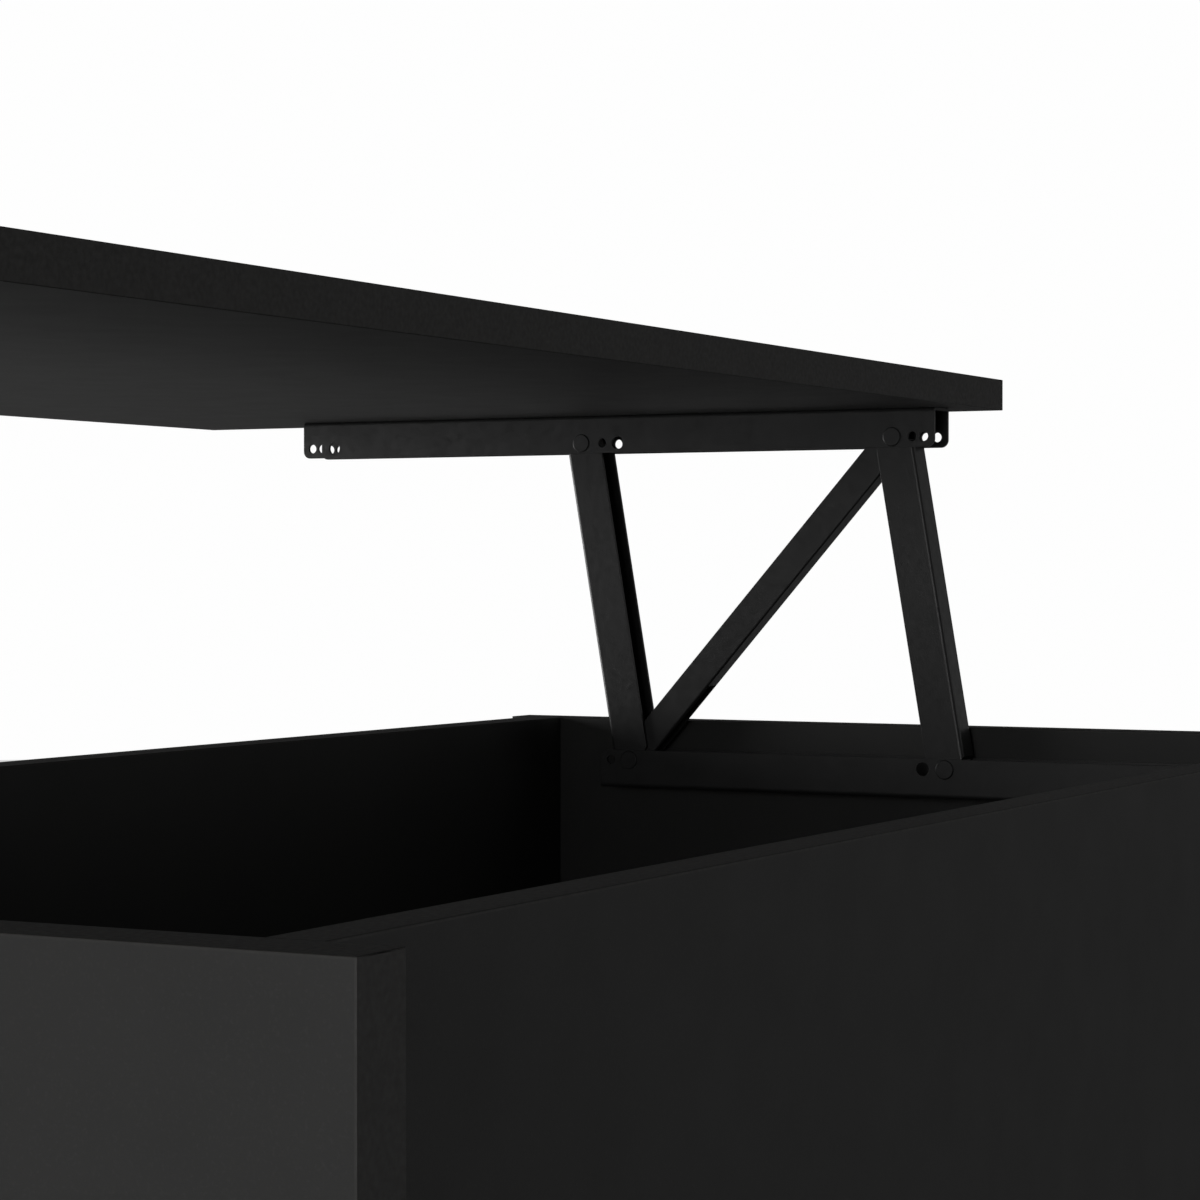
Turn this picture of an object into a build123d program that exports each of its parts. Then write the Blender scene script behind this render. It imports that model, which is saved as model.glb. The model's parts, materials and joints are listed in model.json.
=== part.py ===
from build123d import *
import math
import os

# Lift-top coffee table: a storage box carried by two end panels, and a top that rises and
# comes forward on two parallel-arm lift mechanisms, one at each end. Millimetres. X runs along
# the table, -Y is the user's side, Z is up. The table is modelled with its top raised, about
# the centre of its footprint on the floor, and is shifted to its origin when it is written.

# ---- Boards
TOP_LENGTH = 1000.0
TOP_WIDTH = 500.0
TOP_THICKNESS = 16.0
RIM_HEIGHT = 412.0           # top edge of the storage box above the floor
END_PANEL_WIDTH = 502.0
END_PANEL_INNER_X = 471.0    # inner face of an end panel from the middle of the table
BOX_BOARD = 20.0             # thickness of the end and front panels
BACK_BOARD = 16.0
FRONT_SETBACK = 10.7         # front panel behind the end panels' front edges
BACK_SETBACK = 21.0          # back panel inside the end panels' back edges
BOX_DEPTH = 190.0            # height of the front and back panels
BOTTOM_BOARD = 15.0
EDGE_BAND = 0.8              # glued plastic strip on each cut edge of a board
GLIDE_HEIGHT = 3.0
GLIDE_RADIUS = 9.0
GLIDE_FOOT_RADIUS = 8.0
GLIDE_INSET = 30.0           # glide from the end panel's front and back edges
NAIL_RADIUS = 1.1
NAIL_LENGTH = 12.0

# ---- Lift mechanism
ARM_LENGTH = 173.9           # between an arm's pivots
PIVOT_SPACING = 181.8        # between the front and rear arms' pivots
RAISED_ANGLE = 99.77         # arm above the horizontal +Y direction when raised
LOWER_PIVOT_DROP = 20.9      # lower pivots below the box's rim
SHEET = 1.5                  # steel sheet of the rails and arms
RAIL_LENGTH = 384.4
RAIL_HEIGHT = 20.2
RAIL_HOLE_LINE = 14.8        # line of the rail's holes from the outside of its web
RAIL_CORNER = 4.0
UPPER_RAIL_WIDTH = 20.4
LOWER_RAIL_WIDTH = 21.6
LOWER_RAIL_FRONT = 36.5      # front end of the lower rail behind the front panel
LOWER_PIVOT_FROM_END = 17.05   # front lower pivot from the lower rail's front end
UPPER_PIVOT_FROM_END = 179.05  # front upper pivot from the upper rail's front end
TOP_PAST_RAIL = 18.7         # back edge of the top past the upper rail's back end
SMALL_HOLE = 2.5
LARGE_HOLE = 3.5
UPPER_SMALL_HOLES = (5.9, 12.2, 192.1, 372.2, 378.5)   # from the rail's front end
UPPER_LARGE_HOLES = (20.6, 201.3)
LOWER_SMALL_HOLES = (6.3, 378.1)
LOWER_LARGE_HOLES = (186.9,)
LOWER_SCREWS = (6.3, 186.9, 378.1)
UPPER_SCREWS = (60.0, 130.0, 290.0)

ARM_WIDTH = 20.6             # wide face, seen from the end of the table
ARM_DEPTH = 16.0
EAR_RADIUS = 5.2             # rounded end of an arm round its pivot
EAR_LENGTH = 5.3             # from the pivot to the arm's full width
BEND = 2.0                   # outside radius of the sheet's bends
INNER_BEND_EXTRA = 0.05      # added to the inside radius of every bend

SLEEVE_ABOVE = 8.75          # the sleeve's open edges above its pivot's axis
SLEEVE_BELOW = 6.65          # its web's outside below the same axis
SLEEVE_WIDTH = 11.6
SLEEVE_WALL = 1.0
SLEEVE_START = 6.5           # lower end of the sleeve from the lower front pivot
SLEEVE_WEB_START = 60.0      # where the sleeve's web starts, from the same pivot
SLIDER_HEIGHT = 9.2
SLIDER_WIDTH = 8.6
SLIDER_WALL = 0.8
SLIDER_LENGTH = 222.0        # from its pivot to its free end
STRUT_BEND = 1.2

PIN_RADIUS = 2.5
RUNNING_HOLE = 2.55          # a hole that turns on a pin
SHOULDER_RADIUS = 2.7
SHOULDER_GAP = 0.1           # between an arm and a pin's shoulder
HEAD_RADIUS = 5.0
HEAD_FACE_RADIUS = 4.5
RIVET_HEAD = 0.45            # height of a rivet's head

SPRING_RADIUS = 2.2
SPRING_BORE = 1.3
SPRING_WIRE = 0.45
SPRING_HOOK_RADIUS = 3.1     # middle of the hook's wire from the pin's axis
SPRING_COIL_FROM_PIN = 8.0
SPRING_END_WALL = 1.0        # closed end of the coil's tube

# ---- Fasteners
SCREW_RADIUS = 1.9
SCREW_HOLE = 1.95
SCREW_TIP = 3.0
LOWER_SCREW_LENGTH = 15.0
SINK_RADIUS = 3.5            # countersunk head at its face
SINK_GAP = 0.05
SCREW_POINT = 0.4            # radius of a screw's blunt tip
UPPER_SCREW_LENGTH = 13.5
PAN_RADIUS = 4.0
PAN_FACE_RADIUS = 3.0
PAN_HEIGHT = 1.9
CAM_RADIUS = 7.5
CAM_DEPTH = 12.6
CAM_FROM_END = 34.0          # cam's axis from the end of its board
CAM_SLOT = 1.2               # width of the slots of the cross in a cam's face
CAM_SLOT_LENGTH = 9.75
CAP_RADIUS = 8.5
CAP_FACE_RADIUS = 7.9
CAP_HEIGHT = 1.2
BOLT_RADIUS = 3.0
BOLT_SHANK_RADIUS = 2.5
BOLT_HOLE = 4.0
BOLT_HEAD = 3.6              # radius and length of a cam bolt's head
BOLT_THREAD = 10.0           # length of a cam bolt inside the end panel
DOWEL_RADIUS = 4.0
DOWEL_LENGTH = 30.0
DOWEL_IN_FACE = 10.0         # length of a dowel in the board whose face it enters
LONG_PANEL_CAM_DROPS = (100.0, 160.0)     # below the rim
LONG_PANEL_DOWEL_DROPS = (40.0, 130.0)
BOTTOM_CAM_Y = (-150.0, 150.0)
BOTTOM_END_DOWEL_Y = (-80.0, 80.0)
BOTTOM_SIDE_DOWEL_X = (-300.0, 0.0, 300.0)

# ---- Worked out from the above
HALF_WIDTH = END_PANEL_WIDTH / 2
FRONT_OUTER = -HALF_WIDTH + FRONT_SETBACK
FRONT_INNER = FRONT_OUTER + BOX_BOARD
BACK_OUTER = HALF_WIDTH - BACK_SETBACK
BACK_INNER = BACK_OUTER - BACK_BOARD
BOX_FLOOR = RIM_HEIGHT - BOX_DEPTH            # underside of the box
BOTTOM_MIDDLE = BOX_FLOOR + BOTTOM_BOARD / 2
MECHANISM_X = -END_PANEL_INNER_X + LOWER_RAIL_WIDTH / 2   # middle plane of the left mechanism
LOWER_RAIL_Y = FRONT_INNER + LOWER_RAIL_FRONT
LOWER_PIVOT_Z = RIM_HEIGHT - LOWER_PIVOT_DROP
LEAN_Y = ARM_LENGTH * math.cos(math.radians(RAISED_ANGLE))
LIFT_Z = ARM_LENGTH * math.sin(math.radians(RAISED_ANGLE))
FRONT_LOWER = (LOWER_RAIL_Y + LOWER_PIVOT_FROM_END, LOWER_PIVOT_Z)     # pivots as (y, z)
REAR_LOWER = (FRONT_LOWER[0] + PIVOT_SPACING, LOWER_PIVOT_Z)
FRONT_UPPER = (FRONT_LOWER[0] + LEAN_Y, LOWER_PIVOT_Z + LIFT_Z)
REAR_UPPER = (REAR_LOWER[0] + LEAN_Y, LOWER_PIVOT_Z + LIFT_Z)
UPPER_RAIL_Y = FRONT_UPPER[0] - UPPER_PIVOT_FROM_END
TOP_UNDERSIDE = FRONT_UPPER[1] + RAIL_HOLE_LINE
TOP_BACK = UPPER_RAIL_Y + RAIL_LENGTH + TOP_PAST_RAIL
TOP_FRONT = TOP_BACK - TOP_WIDTH
STRUT_LENGTH = math.hypot(REAR_UPPER[0] - FRONT_LOWER[0], LIFT_Z)
STRUT_ANGLE = math.degrees(math.atan2(LIFT_Z, REAR_UPPER[0] - FRONT_LOWER[0]))
ORIGIN_Y = (TOP_FRONT + HALF_WIDTH) / 2       # middle of the raised table's box


# ---- Helpers
def block(low, high):
    """A box between two corners."""
    size = [b - a for a, b in zip(low, high)]
    middle = [(a + b) / 2 for a, b in zip(low, high)]
    return Pos(*middle) * Box(*size)


def rod(start, direction, radius, length, tip_radius=None):
    """A cylinder, or a cone to tip_radius, from start along direction."""
    plane = Plane(origin=start, z_dir=direction)
    if tip_radius is None:
        solid = Cylinder(radius, length, align=(Align.CENTER, Align.CENTER, Align.MIN))
    else:
        solid = Cone(radius, tip_radius, length, align=(Align.CENTER, Align.CENTER, Align.MIN))
    return plane.location * solid


def link_frame(pivot, angle=0.0):
    """The frame of a link of the left mechanism: local x runs along it from its pivot, local y
    is square to it in the plane it swings in, and local z is the table's X."""
    along = (0, math.cos(math.radians(angle)), math.sin(math.radians(angle)))
    return Plane(origin=(MECHANISM_X, *pivot), x_dir=along, z_dir=(1, 0, 0)).location


def channel(start, length, width, web_y, free_y, wall, bend):
    """A U-channel along local x, its web at web_y and its open side at free_y."""
    side = 1 if web_y > free_y else -1
    depth = abs(web_y - free_y)
    outer = Rectangle(width, depth)
    outer = fillet(outer.vertices().group_by(Axis.Y)[-1], bend)
    inner = Pos(0, -wall) * Rectangle(width - 2 * wall, depth)
    inner = fillet(inner.vertices().group_by(Axis.Y)[-1], bend - wall + INNER_BEND_EXTRA)
    middle = (start + length / 2, (web_y + free_y) / 2, 0)
    section = Plane(origin=middle, x_dir=(0, 0, 1), z_dir=(-side, 0, 0)) * (outer - inner)
    return extrude(section, amount=length / 2, both=True)


def prism(outline, width):
    """A flat outline in the link's plane, made width thick about the middle plane."""
    return extrude(outline, amount=width / 2, both=True)


def cross_hole(x, radius, width):
    """A round hole through both sides of a channel."""
    return Pos(x, 0, 0) * Cylinder(radius, width + 2)


def inner_side_hole(x, radius, width):
    """A round hole through a channel's side nearer the middle of the table only."""
    return Pos(x, 0, 0) * Cylinder(radius, width / 2 + 1, align=(Align.CENTER, Align.CENTER, Align.MIN))


def write(node, shapes):
    """Write one node's STEP file, moved to the table's origin. A group stays separate solids."""
    to_origin = Location((0, -ORIGIN_Y, 0))
    solids = [solid.moved(to_origin) for shape in shapes for solid in shape.solids()]
    export_step(solids[0] if len(solids) == 1 else Compound(children=solids), f"parts/{node}.step")


def mirrored(shape):
    """The same piece of the right-hand mechanism or end."""
    return shape.mirror(Plane.YZ)


def both_ends(shapes):
    """The pieces of the left end and their mirror images, as one group."""
    return list(shapes) + [mirrored(shape) for shape in shapes]


# ---- Fastener places, for the left end
def long_panel_middles():
    """The front and back panels' middle planes, the way to their inner faces, and thickness."""
    yield (FRONT_OUTER + FRONT_INNER) / 2, 1, BOX_BOARD
    yield (BACK_OUTER + BACK_INNER) / 2, -1, BACK_BOARD


def cam_places():
    """Each left-end cam: the bolt's axis as (y, z), the way its face looks, and its board."""
    for y, inward, board in long_panel_middles():
        for drop in LONG_PANEL_CAM_DROPS:
            yield (y, RIM_HEIGHT - drop), (0, inward, 0), board
    for y in BOTTOM_CAM_Y:
        yield (y, BOTTOM_MIDDLE), (0, 0, -1), BOTTOM_BOARD


def cam_face(place, way, board):
    """The middle of a cam's outer face, on the face of its board."""
    y, z = place
    x = -END_PANEL_INNER_X + CAM_FROM_END
    return (x, y + way[1] * board / 2, z + way[2] * board / 2)


def end_dowel_places():
    """Each left-end dowel's axis, as (y, z)."""
    for y, _, _ in long_panel_middles():
        for drop in LONG_PANEL_DOWEL_DROPS:
            yield y, RIM_HEIGHT - drop
    for y in BOTTOM_END_DOWEL_Y:
        yield y, BOTTOM_MIDDLE


def side_dowel_starts():
    """The dowels between the bottom and the front and back panels, along +Y."""
    for x in BOTTOM_SIDE_DOWEL_X:
        yield (x, FRONT_INNER - DOWEL_IN_FACE, BOTTOM_MIDDLE)
        yield (x, BACK_INNER + DOWEL_IN_FACE - DOWEL_LENGTH, BOTTOM_MIDDLE)


def cut_box_joints(board):
    """Take the cam, bolt and dowel holes of both ends out of a board."""
    cuts = []
    for place, way, thickness in cam_places():
        inward = tuple(-w for w in way)
        cuts.append(rod(cam_face(place, way, thickness), inward, CAM_RADIUS, CAM_DEPTH))
        bolt_start = (-END_PANEL_INNER_X, *place)
        cuts.append(rod(bolt_start, (1, 0, 0), BOLT_HOLE, CAM_FROM_END))
        cuts.append(rod(bolt_start, (-1, 0, 0), BOLT_RADIUS, BOLT_THREAD))
    for y, z in end_dowel_places():
        start = (-END_PANEL_INNER_X - DOWEL_IN_FACE, y, z)
        cuts.append(rod(start, (1, 0, 0), DOWEL_RADIUS, DOWEL_LENGTH))
    cuts += [mirrored(cut) for cut in cuts]
    cuts += [rod(start, (0, 1, 0), DOWEL_RADIUS, DOWEL_LENGTH) for start in side_dowel_starts()]
    return board - cuts


# ---- Boards and their edge bands
def end_panel():
    """Left end panel: an end of the box and the legs of that end in one board."""
    x = -END_PANEL_INNER_X
    low = (x - BOX_BOARD, -HALF_WIDTH + EDGE_BAND, GLIDE_HEIGHT + EDGE_BAND)
    high = (x, HALF_WIDTH - EDGE_BAND, RIM_HEIGHT - EDGE_BAND)
    board = cut_box_joints(block(low, high))
    screws = [rod(start, (-1, 0, 0), SCREW_HOLE, LOWER_SCREW_LENGTH) for start in lower_screw_starts()]
    nails = [rod(start, (0, 0, 1), NAIL_RADIUS, NAIL_LENGTH) for start in glide_places()]
    return board - screws - nails


def end_panel_band():
    """The band round all four edges of the left end panel."""
    x = -END_PANEL_INNER_X
    outer = block((x - BOX_BOARD, -HALF_WIDTH, GLIDE_HEIGHT), (x, HALF_WIDTH, RIM_HEIGHT))
    low = (x - BOX_BOARD, -HALF_WIDTH + EDGE_BAND, GLIDE_HEIGHT + EDGE_BAND)
    high = (x, HALF_WIDTH - EDGE_BAND, RIM_HEIGHT - EDGE_BAND)
    nails = [rod(start, (0, 0, 1), NAIL_RADIUS, NAIL_LENGTH) for start in glide_places()]
    return outer - block(low, high) - nails


def long_panel(outer_y, inner_y):
    """Front or back panel of the box, without its bands."""
    low_y, high_y = sorted((outer_y, inner_y))
    low = (-END_PANEL_INNER_X, low_y, BOX_FLOOR + EDGE_BAND)
    high = (END_PANEL_INNER_X, high_y, RIM_HEIGHT - EDGE_BAND)
    return cut_box_joints(block(low, high))


def long_panel_bands():
    """The bands on the top and bottom edges of the front and back panels."""
    bands = []
    for low_y, high_y in ((FRONT_OUTER, FRONT_INNER), (BACK_INNER, BACK_OUTER)):
        for low_z in (BOX_FLOOR, RIM_HEIGHT - EDGE_BAND):
            low = (-END_PANEL_INNER_X, low_y, low_z)
            high = (END_PANEL_INNER_X, high_y, low_z + EDGE_BAND)
            bands.append(block(low, high))
    return bands


def bottom_panel():
    """Floor of the storage box, let in between the four upright boards."""
    low = (-END_PANEL_INNER_X, FRONT_INNER, BOX_FLOOR)
    high = (END_PANEL_INNER_X, BACK_INNER, BOX_FLOOR + BOTTOM_BOARD)
    return cut_box_joints(block(low, high))


def top_panel():
    """The rising top, without its band, with pilot holes for the upper rails' screws."""
    half = TOP_LENGTH / 2 - EDGE_BAND
    low = (-half, TOP_FRONT + EDGE_BAND, TOP_UNDERSIDE)
    high = (half, TOP_BACK - EDGE_BAND, TOP_UNDERSIDE + TOP_THICKNESS)
    holes = [rod(start, (0, 0, 1), SCREW_HOLE, UPPER_SCREW_LENGTH) for start in upper_screw_starts()]
    holes += [mirrored(hole) for hole in holes]
    return block(low, high) - holes


def top_band():
    """The band round the four edges of the top."""
    half = TOP_LENGTH / 2
    inner = half - EDGE_BAND
    roof = TOP_UNDERSIDE + TOP_THICKNESS
    outer = block((-half, TOP_FRONT, TOP_UNDERSIDE), (half, TOP_BACK, roof))
    low = (-inner, TOP_FRONT + EDGE_BAND, TOP_UNDERSIDE)
    return outer - block(low, (inner, TOP_BACK - EDGE_BAND, roof))


# ---- Rails
def rail(width, web_side, holes, pivots):
    """A rail about its line of holes, from its front end, its web up (1) or down (-1)."""
    web_y = web_side * RAIL_HOLE_LINE
    free_y = web_side * (RAIL_HOLE_LINE - RAIL_HEIGHT)
    body = channel(0, RAIL_LENGTH, width, web_y, free_y, SHEET, BEND)
    face = Pos(RAIL_LENGTH / 2, (web_y + free_y) / 2) * Rectangle(RAIL_LENGTH, RAIL_HEIGHT)
    free_corners = face.vertices().group_by(Axis.Y)[0 if web_side > 0 else -1]
    body = body & prism(fillet(free_corners, RAIL_CORNER), width)
    pivot_holes = [cross_hole(x, RUNNING_HOLE, width) for x in pivots]
    return body - holes - pivot_holes


def upper_rail():
    """Left upper rail, an upside-down channel screwed up into the top."""
    pivots = (UPPER_PIVOT_FROM_END, UPPER_PIVOT_FROM_END + PIVOT_SPACING)
    holes = [cross_hole(x, SMALL_HOLE, UPPER_RAIL_WIDTH) for x in UPPER_SMALL_HOLES]
    holes += [cross_hole(x, LARGE_HOLE, UPPER_RAIL_WIDTH) for x in UPPER_LARGE_HOLES]
    local = rail(UPPER_RAIL_WIDTH, 1, holes, pivots)
    screws = [rod(start, (0, 0, 1), SCREW_HOLE, UPPER_SCREW_LENGTH) for start in upper_screw_starts()]
    return link_frame((UPPER_RAIL_Y, FRONT_UPPER[1])) * local - screws


def lower_rail():
    """Left lower rail, an upright channel screwed to the end panel through its outer side. The
    screws are driven in through the holes of its inner side."""
    pivots = (LOWER_PIVOT_FROM_END, LOWER_PIVOT_FROM_END + PIVOT_SPACING)
    holes = [inner_side_hole(x, SMALL_HOLE, LOWER_RAIL_WIDTH) for x in LOWER_SMALL_HOLES]
    holes += [inner_side_hole(x, LARGE_HOLE, LOWER_RAIL_WIDTH) for x in LOWER_LARGE_HOLES]
    local = rail(LOWER_RAIL_WIDTH, -1, holes, pivots)
    sinks = [sink_cone(start, SINK_RADIUS + SINK_GAP) for start in lower_screw_starts()]
    return link_frame((LOWER_RAIL_Y, LOWER_PIVOT_Z)) * local - sinks


# ---- Arms and struts
def arm_outline():
    """An arm's wide side: full width between shoulders, with a rounded ear at each pivot."""
    half = ARM_WIDTH / 2
    neck = EAR_LENGTH - (half - EAR_RADIUS)
    side = [(0, EAR_RADIUS), (neck, EAR_RADIUS), (EAR_LENGTH, half)]
    upper = side + [(ARM_LENGTH - x, y) for x, y in reversed(side)]
    lower = [(x, -y) for x, y in reversed(upper)]
    outline = make_face(Polyline(*upper, *lower, close=True))
    outline += Circle(EAR_RADIUS)
    return outline + Pos(ARM_LENGTH, 0) * Circle(EAR_RADIUS)


def arm(pivot, web_side):
    """An arm of the left mechanism. Its open side faces the strut, which folds into it."""
    half = ARM_WIDTH / 2
    reach = ARM_LENGTH + 2 * EAR_RADIUS
    body = channel(-EAR_RADIUS, reach, ARM_DEPTH, web_side * half, -web_side * half, SHEET, BEND)
    body = body & prism(arm_outline(), ARM_DEPTH)
    holes = [cross_hole(x, RUNNING_HOLE, ARM_DEPTH) for x in (0, ARM_LENGTH)]
    return link_frame(pivot, RAISED_ANGLE) * (body - holes)


def strut_sleeve():
    """Left strut's outer half: a channel hung from the rear upper pivot, web below."""
    half = (SLEEVE_ABOVE + SLEEVE_BELOW) / 2
    middle = (SLEEVE_ABOVE - SLEEVE_BELOW) / 2
    length = STRUT_LENGTH - SLEEVE_START
    reach = length + half
    body = channel(SLEEVE_START, reach, SLEEVE_WIDTH, -SLEEVE_BELOW, SLEEVE_ABOVE, SLEEVE_WALL, STRUT_BEND)
    outline = Pos(SLEEVE_START + length / 2, middle) * Rectangle(length, 2 * half)
    outline += Pos(STRUT_LENGTH, middle) * Circle(half)
    body = body & prism(outline, SLEEVE_WIDTH)
    inside = SLEEVE_WIDTH / 2 - SLEEVE_WALL
    web = block((0, -2 * half, -inside), (SLEEVE_WEB_START, -half / 2, inside))
    hole = cross_hole(STRUT_LENGTH, RUNNING_HOLE, SLEEVE_WIDTH)
    return link_frame(FRONT_LOWER, STRUT_ANGLE) * (body - web - hole)


def strut_slider():
    """Left strut's inner half: a narrower channel that turns on the front lower pivot."""
    half = SLIDER_HEIGHT / 2
    body = channel(-half, SLIDER_LENGTH + half, SLIDER_WIDTH, -half, half, SLIDER_WALL, STRUT_BEND)
    outline = Pos(SLIDER_LENGTH / 2, 0) * Rectangle(SLIDER_LENGTH, SLIDER_HEIGHT) + Circle(half)
    body = body & prism(outline, SLIDER_WIDTH)
    hole = cross_hole(0, RUNNING_HOLE, SLIDER_WIDTH)
    return link_frame(FRONT_LOWER, STRUT_ANGLE) * (body - hole)


def assist_spring():
    """Left pull spring inside the strut: its close-wound coil as a tube, and its two hooks."""
    coil_length = STRUT_LENGTH - 2 * SPRING_COIL_FROM_PIN
    coil = rod((SPRING_COIL_FROM_PIN, 0, 0), (1, 0, 0), SPRING_RADIUS, coil_length)
    bore_start = (SPRING_COIL_FROM_PIN + SPRING_END_WALL, 0, 0)
    coil -= rod(bore_start, (1, 0, 0), SPRING_BORE, coil_length - 2 * SPRING_END_WALL)
    for x, way in ((0, 1), (STRUT_LENGTH, -1)):
        coil += Pos(x, 0, 0) * Torus(SPRING_HOOK_RADIUS, SPRING_WIRE)
        start = (x + way * SPRING_HOOK_RADIUS, 0, 0)
        stem = SPRING_COIL_FROM_PIN - SPRING_HOOK_RADIUS + SPRING_END_WALL / 2
        coil += rod(start, (way, 0, 0), SPRING_WIRE, stem)
    return link_frame(FRONT_LOWER, STRUT_ANGLE) * coil


# ---- Pivot pins and rivets, along local z of the pivot's frame
def head(face_z, way):
    """A low rivet head on a face."""
    return rod((0, 0, face_z), (0, 0, way), HEAD_RADIUS, RIVET_HEAD, HEAD_FACE_RADIUS)


def shoulder(way, rail_face):
    """A pivot's thicker part between an arm and the inside of its rail's side."""
    start = ARM_DEPTH / 2 + SHOULDER_GAP
    return rod((0, 0, way * start), (0, 0, way), SHOULDER_RADIUS, rail_face - SHEET - start)


def upper_end(way, start):
    """One end of an upper pivot from start to its head outside the upper rail."""
    face = UPPER_RAIL_WIDTH / 2
    shaft = rod((0, 0, way * start), (0, 0, way), PIN_RADIUS, face - start)
    shaft += shoulder(way, face)
    return shaft + head(way * face, way)


def lower_end(way, start):
    """One end of a lower pivot. The end against the end panel (way -1) is flush, with no head."""
    face = LOWER_RAIL_WIDTH / 2
    shaft = rod((0, 0, way * start), (0, 0, way), PIN_RADIUS, face - start)
    shaft += shoulder(way, face)
    return shaft + head(face, way) if way > 0 else shaft


def strut_top_pin():
    """Left long pin through the upper rail, the rear arm and the strut's sleeve."""
    return link_frame(REAR_UPPER) * (upper_end(1, 0) + upper_end(-1, 0))


def strut_base_pin():
    """Left long pin through the lower rail, the front arm and the strut's slider."""
    return link_frame(FRONT_LOWER) * (lower_end(1, 0) + lower_end(-1, 0))


def front_top_rivets():
    """Left pair of short rivets of the front arm's upper pivot, which let the strut pass."""
    inner = ARM_DEPTH / 2 - SHEET
    return [link_frame(FRONT_UPPER) * upper_end(way, inner) for way in (1, -1)]


def rear_base_rivets():
    """Left pair of short rivets of the rear arm's lower pivot, which let the strut pass."""
    inner = ARM_DEPTH / 2 - SHEET
    return [link_frame(REAR_LOWER) * lower_end(way, inner) for way in (1, -1)]


# ---- Screws, cams, dowels and glides
def lower_screw_starts():
    """Where the left lower rail's screws start, on the inside of its outer side."""
    x = -END_PANEL_INNER_X + SHEET
    return [(x, LOWER_RAIL_Y + along, LOWER_PIVOT_Z) for along in LOWER_SCREWS]


def upper_screw_starts():
    """Where the left upper rail's screws start, on the underside of its web."""
    z = TOP_UNDERSIDE - SHEET
    return [(MECHANISM_X, UPPER_RAIL_Y + along, z) for along in UPPER_SCREWS]


def pointed_shank(start, way, length):
    """A screw's shank with its tapered tip."""
    straight = length - SCREW_TIP
    tip_start = tuple(s + w * straight for s, w in zip(start, way))
    return rod(start, way, SCREW_RADIUS, straight) + rod(tip_start, way, SCREW_RADIUS, SCREW_TIP, SCREW_POINT)


def lower_screw(start):
    """Countersunk screw of a lower rail, its head flush inside the sheet."""
    return pointed_shank(start, (-1, 0, 0), LOWER_SCREW_LENGTH) + sink_cone(start, SINK_RADIUS)


def sink_cone(start, radius):
    """The countersink's cone in the sheet, from the given radius at its face."""
    return rod(start, (-1, 0, 0), radius, SHEET, SCREW_RADIUS)


def upper_screw(start):
    """Pan-head screw of an upper rail."""
    shank = pointed_shank(start, (0, 0, 1), UPPER_SCREW_LENGTH)
    pan = rod(start, (0, 0, -1), PAN_RADIUS, PAN_HEIGHT, PAN_FACE_RADIUS)
    return shank + pan


def cam_lock(place, way, board):
    """Round cam with a crossed slot in its face and a channel for the bolt's head."""
    face = cam_face(place, way, board)
    inward = tuple(-w for w in way)
    cam = rod(face, inward, CAM_RADIUS, CAM_DEPTH)
    bolt_start = (-END_PANEL_INNER_X, *place)
    cam -= rod(bolt_start, (1, 0, 0), BOLT_HOLE, CAM_FROM_END + BOLT_HEAD / 2)
    slot = Box(CAM_SLOT_LENGTH, CAM_SLOT, 2 * CAM_SLOT)
    cross = slot + Rot(0, 0, 90) * slot
    return cam - Plane(origin=face, z_dir=way).location * cross


def cam_cap(place, way, board):
    """Thin cover pressed over a cam."""
    return rod(cam_face(place, way, board), way, CAP_RADIUS, CAP_HEIGHT, CAP_FACE_RADIUS)


def cam_bolt(place):
    """Bolt that is screwed into the end panel, with its head inside the cam."""
    start = (-END_PANEL_INNER_X - BOLT_THREAD, *place)
    neck_end = (-END_PANEL_INNER_X + CAM_FROM_END - BOLT_HEAD, *place)
    shaft = rod(start, (1, 0, 0), BOLT_RADIUS, BOLT_THREAD)
    shaft += rod(start, (1, 0, 0), BOLT_SHANK_RADIUS, BOLT_THREAD + CAM_FROM_END - BOLT_HEAD)
    return shaft + rod(neck_end, (1, 0, 0), BOLT_HEAD, BOLT_HEAD)


def dowels():
    """All the wooden dowels of the box."""
    left = []
    for y, z in end_dowel_places():
        start = (-END_PANEL_INNER_X - DOWEL_IN_FACE, y, z)
        left.append(rod(start, (1, 0, 0), DOWEL_RADIUS, DOWEL_LENGTH))
    along = [rod(start, (0, 1, 0), DOWEL_RADIUS, DOWEL_LENGTH) for start in side_dowel_starts()]
    return both_ends(left) + along


def glide_places():
    """The middles of the left end panel's two glides, on the panel's bottom edge."""
    x = -END_PANEL_INNER_X - BOX_BOARD / 2
    y = HALF_WIDTH - GLIDE_INSET
    return [(x, -y, GLIDE_HEIGHT), (x, y, GLIDE_HEIGHT)]


def glide(place):
    """Nail-in floor glide with a bevelled foot."""
    foot = rod(place, (0, 0, -1), GLIDE_RADIUS, GLIDE_HEIGHT, GLIDE_FOOT_RADIUS)
    return foot + rod(place, (0, 0, 1), NAIL_RADIUS, NAIL_LENGTH)


# ---- All the nodes
def box_nodes():
    """The box, with its fasteners."""
    cams = list(cam_places())
    return {
        "end_panel_left": [end_panel()],
        "end_panel_right": [mirrored(end_panel())],
        "end_panel_edge_bands": both_ends([end_panel_band()]),
        "front_panel": [long_panel(FRONT_OUTER, FRONT_INNER)],
        "back_panel": [long_panel(BACK_OUTER, BACK_INNER)],
        "long_panel_edge_bands": long_panel_bands(),
        "bottom_panel": [bottom_panel()],
        "cam_locks": both_ends([cam_lock(*cam) for cam in cams]),
        "cam_bolts": both_ends([cam_bolt(cam[0]) for cam in cams]),
        "cam_cover_caps": both_ends([cam_cap(*cam) for cam in cams]),
        "wood_dowels": dowels(),
        "floor_glides": both_ends([glide(place) for place in glide_places()]),
    }


def top_nodes():
    """The rising top."""
    return {"top_panel": [top_panel()], "top_edge_band": [top_band()]}


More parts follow.
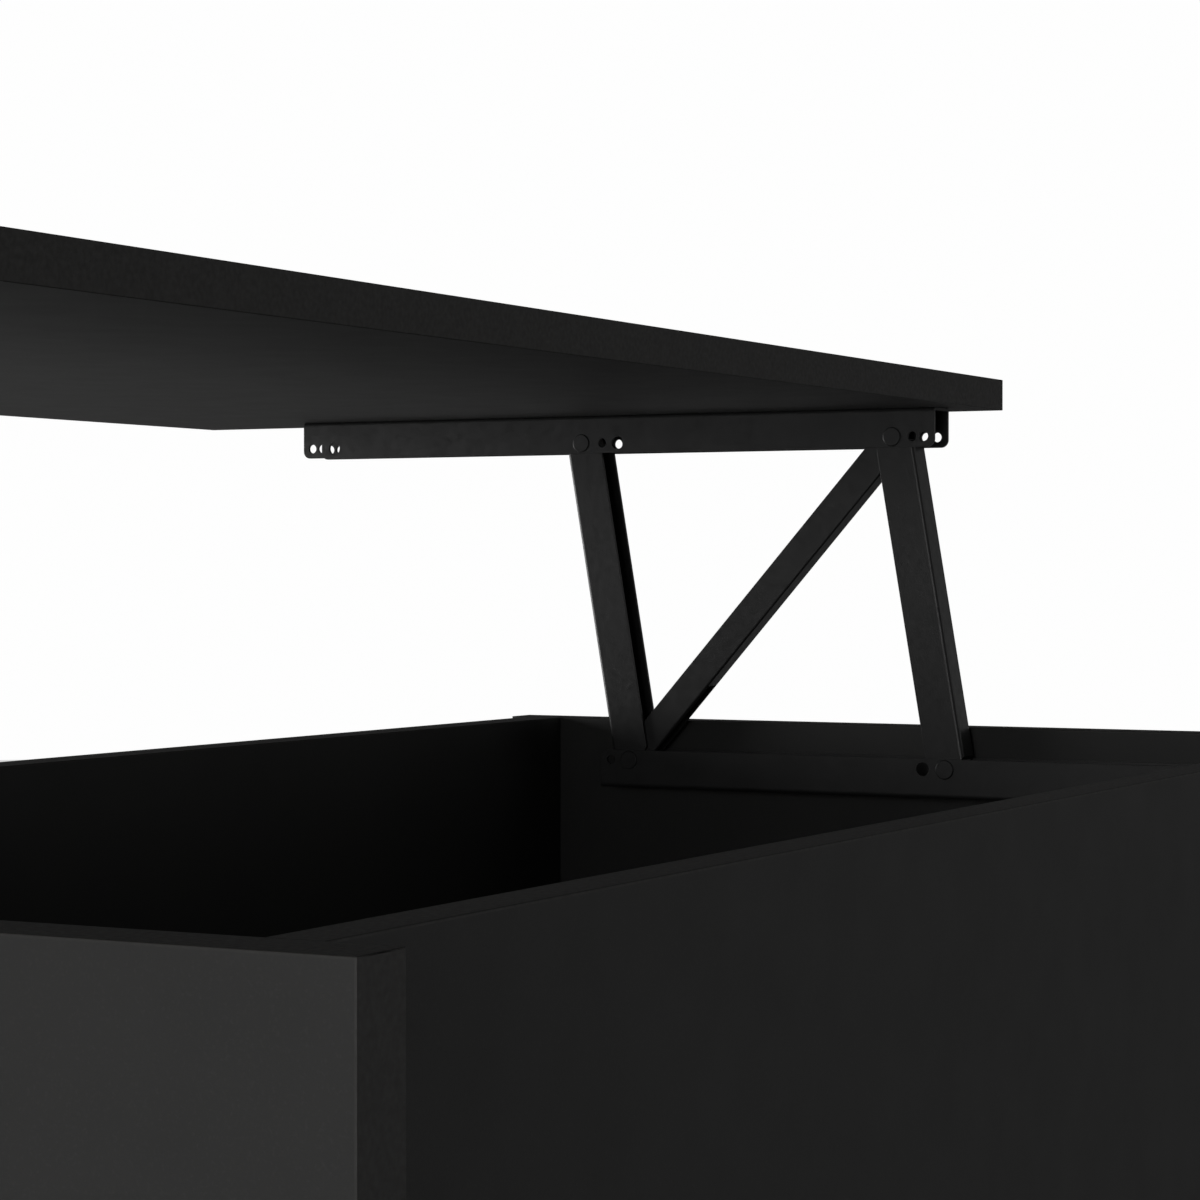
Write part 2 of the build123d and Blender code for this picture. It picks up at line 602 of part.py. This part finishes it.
def mechanism_nodes():
    """Both lift mechanisms: the pieces of one end are the mirror image of the other's."""
    left = {
        "lower_rail": lower_rail(),
        "upper_rail": upper_rail(),
        "front_arm": arm(FRONT_LOWER, 1),
        "rear_arm": arm(REAR_LOWER, -1),
        "strut_sleeve": strut_sleeve(),
        "strut_slider": strut_slider(),
        "assist_spring": assist_spring(),
    }
    nodes = {}
    for name, shape in left.items():
        nodes[f"{name}_left"] = [shape]
        nodes[f"{name}_right"] = [mirrored(shape)]
    nodes["strut_base_pins"] = both_ends([strut_base_pin()])
    nodes["strut_top_pins"] = both_ends([strut_top_pin()])
    nodes["rear_arm_base_rivets"] = both_ends(rear_base_rivets())
    nodes["front_arm_top_rivets"] = both_ends(front_top_rivets())
    nodes["lower_rail_screws"] = both_ends([lower_screw(start) for start in lower_screw_starts()])
    nodes["upper_rail_screws"] = both_ends([upper_screw(start) for start in upper_screw_starts()])
    return nodes


def main():
    """Write every node."""
    os.makedirs("parts", exist_ok=True)
    for node, shapes in {**box_nodes(), **top_nodes(), **mechanism_nodes()}.items():
        write(node, shapes)


main()
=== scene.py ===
import json
import math

import bmesh
import bpy
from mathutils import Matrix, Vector


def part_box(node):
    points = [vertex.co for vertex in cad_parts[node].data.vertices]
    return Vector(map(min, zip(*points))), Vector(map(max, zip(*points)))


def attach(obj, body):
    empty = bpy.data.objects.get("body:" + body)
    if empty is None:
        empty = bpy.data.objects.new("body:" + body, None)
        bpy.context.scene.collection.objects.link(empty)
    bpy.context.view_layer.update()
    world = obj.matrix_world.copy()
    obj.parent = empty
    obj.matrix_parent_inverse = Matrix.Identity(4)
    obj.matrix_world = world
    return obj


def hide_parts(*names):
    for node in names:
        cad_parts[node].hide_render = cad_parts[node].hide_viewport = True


# Looks of the lift-top coffee table. Metres, in the CAD model's frame: X along the table, -Y the
# user's side, Z up. The edge bands, cam caps, glides, upper rail screws and springs are finer
# pieces in the places of their CAD nodes. Every other node is shown as it is, in a new material.

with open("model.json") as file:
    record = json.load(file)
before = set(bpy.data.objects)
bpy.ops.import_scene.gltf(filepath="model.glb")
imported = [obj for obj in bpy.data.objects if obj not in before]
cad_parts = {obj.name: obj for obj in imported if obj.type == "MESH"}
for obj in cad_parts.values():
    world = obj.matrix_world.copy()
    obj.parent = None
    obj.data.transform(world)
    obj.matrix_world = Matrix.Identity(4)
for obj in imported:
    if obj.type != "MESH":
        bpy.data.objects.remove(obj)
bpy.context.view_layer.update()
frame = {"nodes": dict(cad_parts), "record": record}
MM = 0.001

# ---- Fine shapes
WELD = 0.001 * MM               # CAD vertices closer than this are one
SHARP_ANGLE = math.radians(38)
BAND_ROUND = 0.35 * MM          # rounding of the edge bands' outer corners
BAND_STEPS = 3
TURN_STEPS = 40
NAIL_RADIUS = 1.1 * MM
NAIL_TIP_SHARE = 0.2            # radius of a nail's blunt tip, as a share of the nail's
FOOT_TOP_ROUND = 0.3 * MM
FOOT_ROUND_SHARE = 0.45         # rounding under a glide's foot, as a share of its height
FOOT_ROUND_ANGLES = (0.4, 0.8, 1.2, math.pi / 2)
DOME_STEPS = 6
DOME_TURN = 0.94                # how far a dome's outline turns towards its middle
CAP_LIP = 0.2 * MM              # steps of a cam cap's lip, inwards and up
CAP_LIP_FOOT = 0.15 * MM
CAP_LIP_TOP = 0.45 * MM
CAP_DOME_BASE = 0.5 * MM
RAIL_SHEET = 1.5 * MM
SCREW_RADIUS = 1.9 * MM
SCREW_STEPS = 16
SCREW_TIP_LENGTH = 3 * MM
SCREW_POINT = 0.2 * MM
THREAD_START = 0.6 * MM
THREAD_PITCH = 1.4 * MM
THREAD_ROOT = 0.72              # radius between a thread's ridges, as a share of the shank's
TIP_SHOULDER = (0.7, 0.8)       # shares of the radius and of the tip's length where it narrows
HEAD_RIM_SHARE = 0.35           # straight rim of a pan head, as a share of its height
HEAD_RINGS = 14
HEAD_STEPS = 64
RECESS_HALF = 0.5 * MM          # half the width of a cross recess's arms
RECESS_REACH = 2.1 * MM
RECESS_DEPTH = 1.2 * MM
RECESS_FALL = 1.6               # reaches from the middle at which the recess would end in depth
SPRING_FROM_PIN = 8.0 * MM      # coil from the pins' axes
HOOK_RADIUS = 3.1 * MM
HOOK_STEPS = 28
HOOK_TURN = 290                 # degrees of wire round a pin
HOOK_OPENING = 200              # direction in degrees in which a hook starts
COIL_RADIUS = 1.75 * MM         # middle of the wire from the coil's axis
COIL_PITCH = 0.95 * MM
COIL_STEPS = 14
WIRE_RADIUS = 0.43 * MM
WIRE_STEPS = 7

# ---- Camera
CAMERA_PLACE = (1.0506, 0.7129, 0.4936)
CAMERA_LENS = 93.74
CAMERA_SENSOR = 36.0
CAMERA_HEADING = (-0.8856, -0.4644)
CAMERA_PITCH = math.radians(-0.55)

# ---- Light
BACKDROP_WHITE = 0.99
FLOOR_RADIUS = 7.0
FLOOR_GLOW = 0.9                # brightness mixed into the floor where it is looked at
FLOOR_GLOW_SHARE = 0.75
# Grey of the studio the surfaces see, by height: 0 straight down, 0.5 level, 1 straight up.
STUDIO_GREYS = ((0.35, 0.0), (1.0, 0.09), (0.5, 0.32), (0.65, 0.03))
LIGHT_TARGET = (0.0, 0.0, 0.42)
# Each light's place, size across and power in watts.
SOFT_LIGHTS = {
    "front": ((0.4, -2.6, 0.5), 1.2, 66.0),
    "end": ((2.5, 0.3, 0.6), 1.2, 27.0),
    "back": ((-1.2, 2.4, 0.8), 1.6, 5.8),
}


# ---- Small helpers
def ride_with_node(piece, node):
    """Let a piece ride on the body its CAD node is in."""
    for body, nodes in frame["record"]["behaviour"]["bodies"].items():
        if node in nodes:
            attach(piece, body)
    return piece


def add_object(name, mesh):
    piece = bpy.data.objects.new(name, mesh)
    bpy.context.scene.collection.objects.link(piece)
    return piece


def solids_of(node):
    """The separate solids of a CAD node, each as (lowest corner, highest corner)."""
    piece = frame["nodes"][node]
    shape = bmesh.new()
    shape.from_mesh(piece.data)
    bmesh.ops.remove_doubles(shape, verts=shape.verts, dist=WELD)
    left, boxes = set(shape.verts), []
    while left:
        reached, found = [left.pop()], []
        while reached:
            vertex = reached.pop()
            found.append(piece.matrix_world @ vertex.co)
            for edge in vertex.link_edges:
                other = edge.other_vert(vertex)
                if other in left:
                    left.remove(other)
                    reached.append(other)
        low = Vector([min(place[i] for place in found) for i in range(3)])
        high = Vector([max(place[i] for place in found) for i in range(3)])
        boxes.append((low, high))
    shape.free()
    return sorted(boxes, key=lambda box: tuple(round(c, 5) for c in box[0]))


def stand_for(node, shape, smooth):
    """Show a finer piece in a CAD node's place, with the node's material and body."""
    mesh = bpy.data.meshes.new("fine_" + node)
    bmesh.ops.recalc_face_normals(shape, faces=shape.faces)
    shape.to_mesh(mesh)
    shape.free()
    for polygon in mesh.polygons:
        polygon.use_smooth = smooth
    if smooth:
        mesh.set_sharp_from_angle(angle=SHARP_ANGLE)
    slots = {part["node"]: part["material_slot"] for part in frame["record"]["subparts"]}
    slot = slots[node]
    mesh.materials.append(MATERIALS[slot])
    piece = add_object("fine_" + node, mesh)
    ride_with_node(piece, node)
    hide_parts(node)


# ---- Edge bands
def ring_band(shape, low, high, thick, axis):
    """A band round a board's four edges, its outer corners rounded. The axis is square to the
    board."""
    u, v = (i for i in range(3) if i != axis)
    loops = []
    for inset in (0.0, thick):
        corners = ((low[u] + inset, low[v] + inset), (high[u] - inset, low[v] + inset),
                   (high[u] - inset, high[v] - inset), (low[u] + inset, high[v] - inset))
        for level in (low[axis], high[axis]):
            loop = []
            for along_u, along_v in corners:
                place = [0.0, 0.0, 0.0]
                place[axis], place[u], place[v] = level, along_u, along_v
                loop.append(shape.verts.new(place))
            loops.append(loop)
    outer_low, outer_high, inner_low, inner_high = loops
    rounded = set()
    for i in range(4):
        j = (i + 1) % 4
        outside = shape.faces.new((outer_low[i], outer_low[j], outer_high[j], outer_high[i]))
        rounded.update(outside.edges)
        shape.faces.new((inner_low[i], inner_low[j], inner_high[j], inner_high[i]))
        shape.faces.new((outer_low[i], outer_low[j], inner_low[j], inner_low[i]))
        shape.faces.new((outer_high[i], outer_high[j], inner_high[j], inner_high[i]))
    round_edges(shape, rounded)


def strip_band(shape, low, high, out_z):
    """A straight band on an edge of a board, rounded along its face that looks up or down."""
    made = bmesh.ops.create_cube(shape, size=1.0)["verts"]
    for vertex in made:
        vertex.co = [(low[i] + high[i]) / 2 + vertex.co[i] * (high[i] - low[i]) for i in range(3)]
    outer = high.z if out_z > 0 else low.z
    face_verts = [vertex for vertex in made if abs(vertex.co.z - outer) < WELD]
    rounded = {edge for vertex in face_verts for edge in vertex.link_edges
               if edge.other_vert(vertex) in face_verts}
    round_edges(shape, rounded)


def round_edges(shape, edges):
    ordered = sorted(edges, key=lambda edge: tuple(sum((v.co for v in edge.verts), Vector())))
    bmesh.ops.bevel(shape, geom=ordered, offset=BAND_ROUND, offset_type="OFFSET",
                    segments=BAND_STEPS, profile=0.5, affect="EDGES", clamp_overlap=True)


def edge_bands():
    """The glued bands of the top, the end panels and the long panels."""
    top_low, top_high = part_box("top_edge_band")
    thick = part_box("top_panel")[0][0] - top_low[0]
    shape = bmesh.new()
    ring_band(shape, Vector(top_low), Vector(top_high), thick, 2)
    stand_for("top_edge_band", shape, False)
    shape = bmesh.new()
    for low, high in solids_of("end_panel_edge_bands"):
        ring_band(shape, low, high, thick, 0)
    stand_for("end_panel_edge_bands", shape, False)
    shape = bmesh.new()
    low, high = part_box("long_panel_edge_bands")
    middle = (low[2] + high[2]) / 2
    for low, high in solids_of("long_panel_edge_bands"):
        strip_band(shape, low, high, low.z - middle)
    stand_for("long_panel_edge_bands", shape, False)


# ---- Turned pieces
def turn(shape, start, axis, outline, steps=TURN_STEPS):
    """Turn an outline of (radius, height) points about an axis. It is closed at both ends."""
    to_axis = Vector(axis).to_track_quat("Z", "Y").to_matrix()
    rings = []
    for radius, height in outline:
        ring = []
        for step in range(steps):
            angle = math.tau * step / steps
            spot = Vector((radius * math.cos(angle), radius * math.sin(angle), height))
            ring.append(shape.verts.new(Vector(start) + to_axis @ spot))
        rings.append(ring)
    for below, above in zip(rings, rings[1:]):
        for i in range(steps):
            j = (i + 1) % steps
            shape.faces.new((below[i], below[j], above[j], above[i]))
    shape.faces.new(rings[0])
    shape.faces.new(rings[-1])


def dome(radius, height, base):
    """Outline points of a low dome, from its rim to its small flat middle."""
    points = []
    for step in range(DOME_STEPS + 1):
        angle = math.pi / 2 * step / DOME_STEPS * DOME_TURN
        points.append((radius * math.cos(angle), base + height * math.sin(angle)))
    return points


def cover_caps():
    """Thin plastic caps over the cams, domed, with a lip."""
    shape = bmesh.new()
    box_low, box_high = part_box("bottom_panel")
    for low, high in solids_of("cam_cover_caps"):
        size = high - low
        axis = min(range(3), key=lambda i: size[i])
        middle = (low + high) / 2
        looks = [0.0, 0.0, 0.0]
        if axis == 2:
            looks[2] = -1.0
        else:
            looks[1] = 1.0 if middle.y < (box_low[1] + box_high[1]) / 2 else -1.0
        start = middle - Vector(looks) * size[axis] / 2
        radius = max(size) / 2
        lip = [(radius - CAP_LIP, 0.0), (radius, CAP_LIP_FOOT), (radius, CAP_LIP_TOP)]
        crown = dome(radius - CAP_LIP_FOOT, size[axis] - CAP_DOME_BASE, CAP_DOME_BASE)
        turn(shape, start, looks, lip + crown)
    stand_for("cam_cover_caps", shape, True)


def glides():
    """Nail-in glides with a rounded foot."""
    shape = bmesh.new()
    board_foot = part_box("end_panel_edge_bands")[0][2]
    for low, high in solids_of("floor_glides"):
        middle = (low + high) / 2
        radius = (high.x - low.x) / 2
        tall = high.z - low.z
        foot = board_foot - low.z
        bend = foot * FOOT_ROUND_SHARE
        outline = [(NAIL_RADIUS * NAIL_TIP_SHARE, tall), (NAIL_RADIUS, tall - 2 * NAIL_RADIUS),
                   (NAIL_RADIUS, foot), (radius - FOOT_TOP_ROUND, foot),
                   (radius, foot - FOOT_TOP_ROUND), (radius, bend)]
        outline += [(radius - bend * (1 - math.cos(angle)), bend * (1 - math.sin(angle)))
                    for angle in FOOT_ROUND_ANGLES]
        turn(shape, (middle.x, middle.y, low.z), (0, 0, 1), outline)
    stand_for("floor_glides", shape, True)


def head_level(x, y, share, height, rim):
    """Height of a screw head's face: a dome on a straight rim, with a cross sunk into it."""
    level = rim + (height - rim) * math.sqrt(max(0.0, 1.0 - share * share))
    near, far = sorted((abs(x), abs(y)))
    if near < RECESS_HALF and far < RECESS_REACH:
        level -= RECESS_DEPTH * (1.0 - far / (RECESS_FALL * RECESS_REACH))
    return level


def recessed_head(shape, start, axis, radius, height):
    """A screw head in rings from its middle out, closed underneath."""
    to_axis = Vector(axis).to_track_quat("Z", "Y").to_matrix()
    rim = height * HEAD_RIM_SHARE

    def ring(share, level=None):
        made = []
        for step in range(HEAD_STEPS):
            angle = math.tau * step / HEAD_STEPS
            x, y = share * radius * math.cos(angle), share * radius * math.sin(angle)
            z = head_level(x, y, share, height, rim) if level is None else level
            made.append(shape.verts.new(Vector(start) + to_axis @ Vector((x, y, z))))
        return made

    rings = [ring(index / HEAD_RINGS) for index in range(1, HEAD_RINGS + 1)] + [ring(1.0, 0.0)]
    for inner, outer in zip(rings, rings[1:]):
        for i in range(HEAD_STEPS):
            j = (i + 1) % HEAD_STEPS
            shape.faces.new((inner[i], inner[j], outer[j], outer[i]))
    top = Vector((0.0, 0.0, head_level(0.0, 0.0, 0.0, height, rim)))
    middle = shape.verts.new(Vector(start) + to_axis @ top)
    for i in range(HEAD_STEPS):
        shape.faces.new((middle, rings[0][i], rings[0][(i + 1) % HEAD_STEPS]))
    shape.faces.new(rings[-1])


def threaded_outline(length):
    """Outline of a screw's shank: ridges for its thread, then a point."""
    points, height = [(SCREW_RADIUS, 0.0)], THREAD_START
    while height < length - SCREW_TIP_LENGTH:
        points += [(SCREW_RADIUS * THREAD_ROOT, height), (SCREW_RADIUS, height + THREAD_PITCH / 2)]
        height += THREAD_PITCH
    narrow, along = TIP_SHOULDER
    points.append((SCREW_RADIUS * narrow, length - SCREW_TIP_LENGTH * along))
    return points + [(SCREW_POINT, length)]


def top_screws():
    """Pan-head screws that hold the upper rails to the top."""
    shape = bmesh.new()
    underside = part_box("upper_rail_left")[1][2] - RAIL_SHEET
    for low, high in solids_of("upper_rail_screws"):
        middle = (low + high) / 2
        radius = (high.x - low.x) / 2
        start = (middle.x, middle.y, underside)
        recessed_head(shape, start, (0, 0, -1), radius, underside - low.z)
        turn(shape, start, (0, 0, 1), threaded_outline(high.z - underside), SCREW_STEPS)
    stand_for("upper_rail_screws", shape, True)


# ---- Springs
def spring(side):
    """A strut's close-wound spring with a hook at each end, along the strut."""
    node = "assist_spring_" + side
    base, top = strut_pivots(side)
    along = (top - base).normalized()
    length = (top - base).length
    across = Vector((1.0, 0.0, 0.0))
    square = along.cross(across)
    path = []
    coil_start, coil_end = SPRING_FROM_PIN, length - SPRING_FROM_PIN
    for step in range(HOOK_STEPS):
        angle = math.radians(HOOK_OPENING - HOOK_TURN * step / HOOK_STEPS)
        path.append((HOOK_RADIUS * math.cos(angle), HOOK_RADIUS * math.sin(angle), 0.0))
    turns = round((coil_end - coil_start) / COIL_PITCH)
    for step in range(turns * COIL_STEPS + 1):
        angle = math.tau * step / COIL_STEPS
        reach = coil_start + (coil_end - coil_start) * step / (turns * COIL_STEPS)
        path.append((reach, -COIL_RADIUS * math.cos(angle), COIL_RADIUS * math.sin(angle)))
    for step in range(1, HOOK_STEPS + 1):
        angle = math.radians(HOOK_OPENING - HOOK_TURN + HOOK_TURN * step / HOOK_STEPS)
        path.append((length - HOOK_RADIUS * math.cos(angle), HOOK_RADIUS * math.sin(angle), 0.0))
    shape = bmesh.new()
    wire(shape, [base + along * a + square * b + across * c for a, b, c in path], WIRE_RADIUS)
    stand_for(node, shape, True)


def strut_pivots(side):
    """The strut's lower and upper pivots, from the record's joints."""
    joints = frame["record"]["behaviour"]["joints"]
    places = {joint["name"]: Vector(joint["pos_m"]) for joint in joints}
    return places[f"strut_slider_{side}_turn"], places[f"strut_sleeve_{side}_turn"]


def wire(shape, path, radius):
    """A round wire along a path."""
    rings = []
    side = Vector((1.0, 0.0, 0.0))
    for index, place in enumerate(path):
        ahead = path[min(index + 1, len(path) - 1)] - path[max(index - 1, 0)]
        ahead.normalize()
        side = (side - ahead * side.dot(ahead)).normalized()
        up = ahead.cross(side)
        ring = []
        for step in range(WIRE_STEPS):
            turned = math.tau * step / WIRE_STEPS
            out = math.cos(turned) * side + math.sin(turned) * up
            ring.append(shape.verts.new(place + radius * out))
        rings.append(ring)
    for below, above in zip(rings, rings[1:]):
        for i in range(WIRE_STEPS):
            j = (i + 1) % WIRE_STEPS
            shape.faces.new((below[i], below[j], above[j], above[i]))
    shape.faces.new(rings[0])
    shape.faces.new(rings[-1])


# ---- Materials
class Nodes:
    """A material's node tree, with a short way to add and join nodes."""

    def __init__(self, name):
        self.material = bpy.data.materials.new(name)
        self.material.use_nodes = True
        self.tree = self.material.node_tree
        self.shader = self.tree.nodes["Principled BSDF"]
        self.place = self.add("ShaderNodeTexCoord").outputs["Object"]

    def add(self, kind, links=(), **settings):
        node = self.tree.nodes.new(kind)
        for key, value in settings.items():
            if key in node.inputs:
                node.inputs[key].default_value = value
            else:
                setattr(node, key, value)
        for socket, source in dict(links).items():
            self.tree.links.new(source, node.inputs[socket])
        return node

    def noise(self, size, detail=2.0):
        """Noise from 0 to 1 with features of about the given size in metres."""
        node = self.add("ShaderNodeTexNoise", {"Vector": self.place})
        node.inputs["Scale"].default_value = 1.0 / size
        node.inputs["Detail"].default_value = detail
        return node.outputs["Fac"]

    def spread(self, value, low, high, start=0.3, end=0.7):
        """Map a value between start and end to low and high."""
        node = self.add("ShaderNodeMapRange", {"Value": value})
        limits = {"From Min": start, "From Max": end, "To Min": low, "To Max": high}
        for key, number in limits.items():
            node.inputs[key].default_value = number
        return node.outputs["Result"]

    def blend(self, factor, first, second):
        """A colour between two, by factor."""
        node = self.add("ShaderNodeMix", {"Factor": factor}, data_type="RGBA")
        for slot, colour in ((6, first), (7, second)):
            if isinstance(colour, tuple):
                node.inputs[slot].default_value = (*colour, 1.0)
            else:
                self.tree.links.new(colour, node.inputs[slot])
        return node.outputs[2]

    def bump(self, height, depth, below=None):
        """Surface relief of the given depth in metres, on top of another."""
        node = self.add("ShaderNodeBump", {"Height": height})
        node.inputs["Distance"].default_value = depth
        if below is not None:
            self.tree.links.new(below, node.inputs["Normal"])
        return node.outputs["Normal"]

    def finish(self, **sources):
        """Set or join the shader's inputs, by name with spaces as underscores."""
        for key, source in sources.items():
            socket = self.shader.inputs[key.replace("_", " ")]
            if isinstance(source, (int, float)):
                socket.default_value = source
            elif isinstance(source, tuple):
                socket.default_value = (*source, 1.0)
            else:
                self.tree.links.new(source, socket)
        return self.material


def melamine(name, dark, light):
    """Matte black melamine paper on board: a fine pearl grain with faint clouding."""
    n = Nodes(name)
    clouds = n.noise(60 * MM, 3.0)
    fleck = n.noise(0.9 * MM, 2.0)
    tint = n.blend(n.spread(clouds, 0.3, 0.7), dark, light)
    colour = n.blend(n.spread(fleck, 0.0, 0.35, 0.55, 0.8), tint, tuple(1.6 * c for c in light))
    rough = n.spread(n.noise(25 * MM, 4.0), 0.595, 0.635)
    pearl = n.bump(n.noise(0.45 * MM, 2.0), 0.02 * MM)
    wave = n.bump(n.noise(6 * MM, 2.0), 0.012 * MM, pearl)
    return n.finish(Base_Color=colour, Roughness=rough, Normal=wave, Specular_IOR_Level=0.22)


def powder_coat(name, dark, light):
    """Satin black powder coat: orange peel about a millimetre across."""
    n = Nodes(name)
    clouds = n.noise(20 * MM, 3.0)
    colour = n.blend(n.spread(clouds, 0.0, 1.0), dark, light)
    rough = n.spread(n.noise(4 * MM, 3.0), 0.34, 0.44)
    edge = n.add("ShaderNodeBevel", Radius=0.3 * MM).outputs["Normal"]
    grain = n.bump(n.noise(0.35 * MM, 2.0), 0.006 * MM, edge)
    peel = n.bump(n.noise(1.1 * MM, 1.0), 0.02 * MM, grain)
    return n.finish(Base_Color=colour, Roughness=rough, Normal=peel, Specular_IOR_Level=0.3)


def plain_plastic(name, dark, light, roughness):
    n = Nodes(name)
    colour = n.blend(n.spread(n.noise(8 * MM, 3.0), 0.0, 1.0), dark, light)
    rough = n.spread(n.noise(2 * MM, 3.0), roughness - 0.06, roughness + 0.06)
    spark = n.bump(n.noise(0.15 * MM, 1.0), 0.008 * MM)
    return n.finish(Base_Color=colour, Roughness=rough, Normal=spark, Specular_IOR_Level=0.35)


def plated(name, dark, light, roughness):
    n = Nodes(name)
    colour = n.blend(n.spread(n.noise(3 * MM, 4.0), 0.0, 1.0), dark, light)
    rough = n.spread(n.noise(1 * MM, 4.0), roughness - 0.1, roughness + 0.1)
    return n.finish(Base_Color=colour, Roughness=rough, Metallic=1.0)


MATERIALS = {
    "black_board": melamine("black_melamine", (0.0142, 0.0142, 0.0137), (0.0186, 0.0186, 0.018)),
    "edge_band": plain_plastic(
        "black_edge_band", (0.0094, 0.0089, 0.008), (0.0118, 0.0111, 0.0099), 0.6),
    "black_steel": powder_coat(
        "black_powder_coat", (0.0125, 0.0125, 0.0125), (0.016, 0.016, 0.016)),
    "rivet_steel": powder_coat("rivet_powder_coat", (0.011, 0.011, 0.011), (0.015, 0.015, 0.015)),
    "spring_steel": plated("spring_wire", (0.08, 0.08, 0.085), (0.13, 0.13, 0.135), 0.35),
    "plated_screws": plated("black_zinc", (0.05, 0.05, 0.055), (0.09, 0.09, 0.095), 0.4),
    "zinc_casting": plated("zinc_casting", (0.42, 0.42, 0.44), (0.55, 0.55, 0.57), 0.45),
    "black_plastic": plain_plastic(
        "black_plastic", (0.012, 0.012, 0.012), (0.018, 0.018, 0.018), 0.45),
    "beech": plain_plastic("beech", (0.42, 0.27, 0.14), (0.58, 0.4, 0.23), 0.6),
}


def dress_cad_nodes():
    for part in frame["record"]["subparts"]:
        mesh = frame["nodes"][part["node"]].data
        for index in range(len(mesh.materials)):
            mesh.materials[index] = MATERIALS[part["material_slot"]]


# ---- Stage
def stage_floor():
    """A pale round floor."""
    mesh = bpy.data.meshes.new("floor")
    shape = bmesh.new()
    bmesh.ops.create_circle(shape, cap_ends=True, radius=FLOOR_RADIUS, segments=96)
    shape.to_mesh(mesh)
    shape.free()
    floor = add_object("floor", mesh)
    n = Nodes("pale_floor")
    shade = n.blend(n.spread(n.noise(0.4, 2.0), 0.0, 1.0), (0.8, 0.8, 0.8), (0.84, 0.84, 0.84))
    mesh.materials.append(n.finish(Base_Color=shade, Roughness=0.9, Specular_IOR_Level=0.0))
    seen = n.add("ShaderNodeLightPath").outputs["Is Camera Ray"]
    share = n.add("ShaderNodeMath", {0: seen}, operation="MULTIPLY")
    share.inputs[1].default_value = FLOOR_GLOW_SHARE
    glow = n.add("ShaderNodeEmission", Strength=FLOOR_GLOW)
    sources = {0: share.outputs[0], 1: n.shader.outputs[0], 2: glow.outputs[0]}
    mixed = n.add("ShaderNodeMixShader", sources)
    n.tree.links.new(mixed.outputs[0], n.tree.nodes["Material Output"].inputs["Surface"])


def world_light():
    """White all round to the eye, and a softer, uneven studio to the surfaces."""
    world = bpy.data.worlds.new("studio")
    bpy.context.scene.world = world
    world.use_nodes = True
    tree = world.node_tree
    tree.nodes.clear()
    out = tree.nodes.new("ShaderNodeOutputWorld")
    seen = tree.nodes.new("ShaderNodeBackground")
    seen.inputs["Color"].default_value = (BACKDROP_WHITE, BACKDROP_WHITE, BACKDROP_WHITE, 1.0)
    lit = tree.nodes.new("ShaderNodeBackground")
    place = tree.nodes.new("ShaderNodeTexCoord")
    axes = tree.nodes.new("ShaderNodeSeparateXYZ")
    tree.links.new(place.outputs["Generated"], axes.inputs[0])
    ramp = tree.nodes.new("ShaderNodeValToRGB")
    lift = tree.nodes.new("ShaderNodeMapRange")
    lift.inputs["From Min"].default_value = -1.0
    tree.links.new(axes.outputs["Z"], lift.inputs["Value"])
    tree.links.new(lift.outputs["Result"], ramp.inputs["Fac"])
    for index, (position, grey) in enumerate(STUDIO_GREYS):
        stops = ramp.color_ramp.elements
        stop = stops[index] if index < 2 else stops.new(position)
        stop.position = position
        stop.color = (grey, grey, grey, 1.0)
    tree.links.new(ramp.outputs["Color"], lit.inputs["Color"])
    path = tree.nodes.new("ShaderNodeLightPath")
    mix = tree.nodes.new("ShaderNodeMixShader")
    tree.links.new(path.outputs["Is Camera Ray"], mix.inputs["Fac"])
    tree.links.new(lit.outputs[0], mix.inputs[1])
    tree.links.new(seen.outputs[0], mix.inputs[2])
    tree.links.new(mix.outputs[0], out.inputs["Surface"])


def soft_light(name, place, target, size, power):
    light = bpy.data.lights.new(name, "AREA")
    light.shape = "DISK"
    light.size = size
    light.energy = power
    lamp = bpy.data.objects.new(name, light)
    bpy.context.scene.collection.objects.link(lamp)
    lamp.location = place
    lamp.rotation_euler = (Vector(target) - Vector(place)).to_track_quat("-Z", "Y").to_euler()


def camera():
    data = bpy.data.cameras.new("camera")
    data.lens = CAMERA_LENS
    data.sensor_width = CAMERA_SENSOR
    data.clip_start = 0.02
    eye = bpy.data.objects.new("camera", data)
    bpy.context.scene.collection.objects.link(eye)
    eye.location = CAMERA_PLACE
    level = math.cos(CAMERA_PITCH)
    aim = Vector((CAMERA_HEADING[0] * level, CAMERA_HEADING[1] * level, math.sin(CAMERA_PITCH)))
    eye.rotation_euler = aim.to_track_quat("-Z", "Y").to_euler()
    bpy.context.scene.camera = eye


dress_cad_nodes()
edge_bands()
cover_caps()
glides()
top_screws()
spring("left")
spring("right")
stage_floor()
world_light()
for light_name, (light_place, light_size, light_power) in SOFT_LIGHTS.items():
    soft_light(light_name, light_place, LIGHT_TARGET, light_size, light_power)
camera()
bpy.context.scene.view_settings.view_transform = "Standard"
